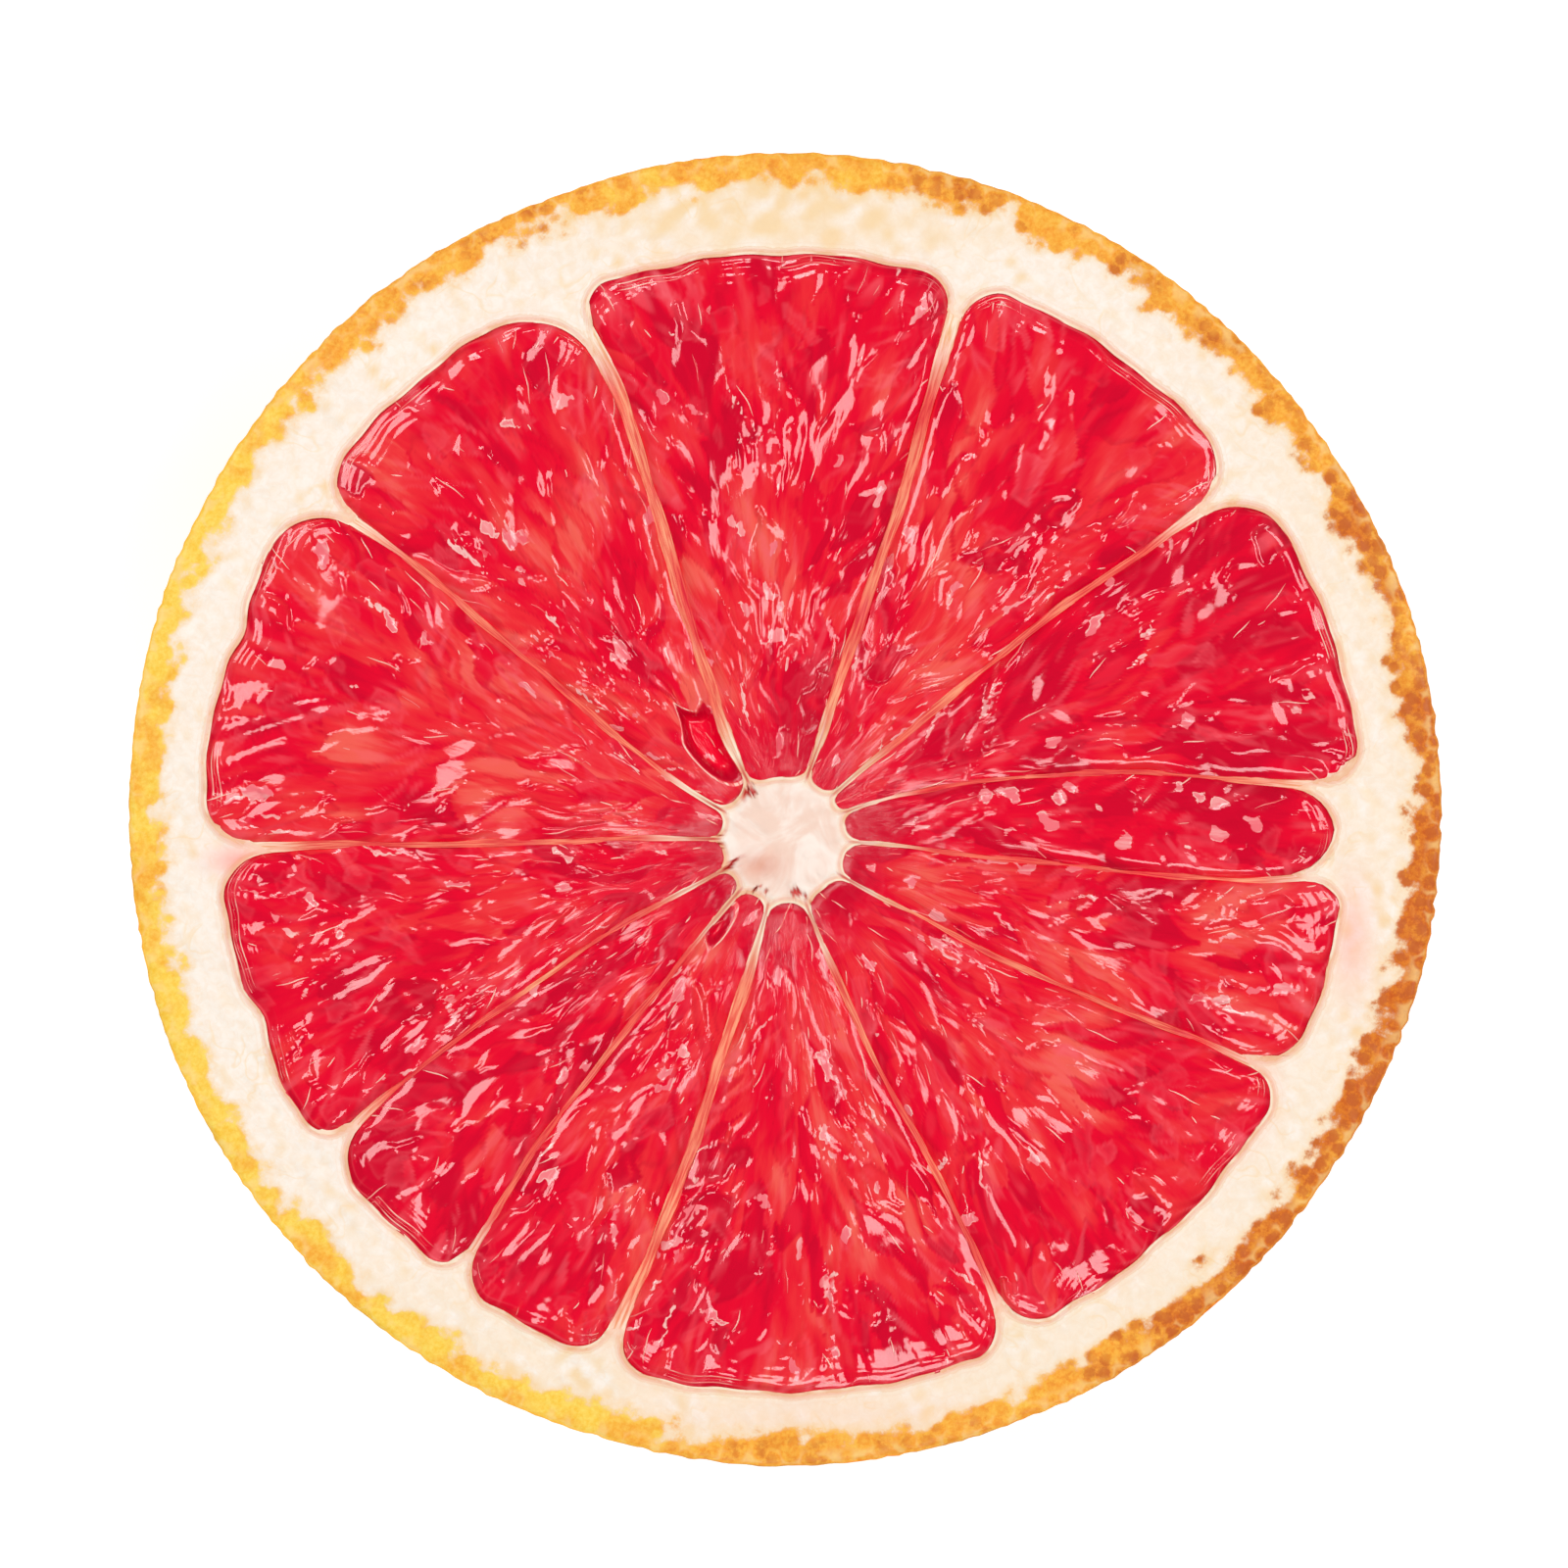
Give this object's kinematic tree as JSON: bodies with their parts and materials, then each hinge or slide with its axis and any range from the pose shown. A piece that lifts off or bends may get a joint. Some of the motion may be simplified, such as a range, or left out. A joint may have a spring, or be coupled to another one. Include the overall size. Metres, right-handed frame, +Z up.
{
  "type": "grapefruit half",
  "caption": "Half a red grapefruit cut across its equator: juicy red segments, pale membranes and core, thick pith and orange-yellow peel, resting on its rounded side.",
  "frame": {"origin": "middle of the flat spot that the half rests on, under the middle of the cut face", "axes": "+Z up, at right angles to the cut face, +Y towards the top of the picture and +X towards its right"},
  "size_m": [0.108, 0.1081, 0.0488],
  "materials": {
    "peel": "waxy orange-yellow peel with fine pores, cream pith where it is cut",
    "flesh": "wet, glossy red juice sacs"
  },
  "bodies": {
    "root": {"peel_and_membranes": "peel", "segment_01": "flesh", "segment_02": "flesh", "segment_03": "flesh", "segment_04": "flesh", "segment_05": "flesh", "segment_06": "flesh", "segment_07": "flesh", "segment_08": "flesh", "segment_09": "flesh", "segment_10": "flesh", "segment_11": "flesh", "segment_12": "flesh"}
  },
  "joints": []
}
